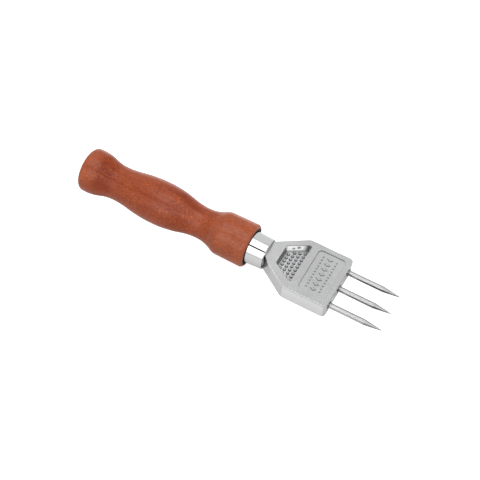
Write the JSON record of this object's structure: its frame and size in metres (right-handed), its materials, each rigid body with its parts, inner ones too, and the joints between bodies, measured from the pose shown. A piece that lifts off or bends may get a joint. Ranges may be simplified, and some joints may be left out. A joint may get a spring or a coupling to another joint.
{
  "type": "pronged ice pick",
  "caption": "Rigid hand tool: turned wooden handle, polished round neck and flared flat metal head with a thumb recess, ending in a row of long pointed round spikes.",
  "frame": {"origin": "where the centre spike leaves the middle of the head's end face, on the tool's axis", "axes": "+X along the tool's axis towards the spike tips, +Z out of the head's recessed front face, +Y across the head to its left spike"},
  "size_m": [0.1772, 0.0332, 0.024],
  "materials": {
    "handle_wood": "lacquered red-brown hardwood, satin gloss",
    "collar_polished": "mirror polished",
    "head_cast": "cast and bead-blasted satin",
    "spike_steel": "ground and polished",
    "stud_steel": "plain threaded rod",
    "insert_brass": "machined"
  },
  "bodies": {
    "root": {"handle": "handle_wood", "neck_collar": "collar_polished", "head": "head_cast", "spike_left": "spike_steel", "spike_centre": "spike_steel", "spike_right": "spike_steel", "tang_stud": "stud_steel", "handle_insert": "insert_brass"}
  },
  "joints": []
}
